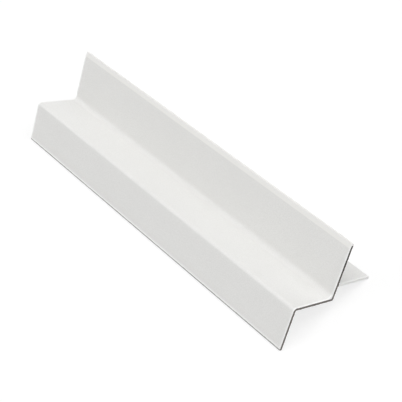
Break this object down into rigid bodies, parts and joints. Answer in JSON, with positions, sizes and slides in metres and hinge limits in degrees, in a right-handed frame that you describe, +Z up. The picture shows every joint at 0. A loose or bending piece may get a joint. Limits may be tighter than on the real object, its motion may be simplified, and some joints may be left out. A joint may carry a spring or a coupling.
{
  "type": "shadow gap profile",
  "caption": "Straight length of white coated aluminium trim with a stepped section: a leg, a ledge, a wall and a rear flange that form a recessed shadow gap beside a board",
  "frame": {"origin": "middle of the length, centre of the footprint, on the floor it lies on", "axes": "+X along the length towards the end nearest in the picture, +Y from the leg's side to the flange's side, +Z up as it lies unheld on its leg's foot and its flange's tip"},
  "size_m": [0.165, 0.0454, 0.0252],
  "materials": {
    "white_coating": "fine satin white powder coat over extruded aluminium, bare where the ends are sawn"
  },
  "bodies": {
    "root": {"shadow_gap_profile": "white_coating"}
  },
  "joints": []
}
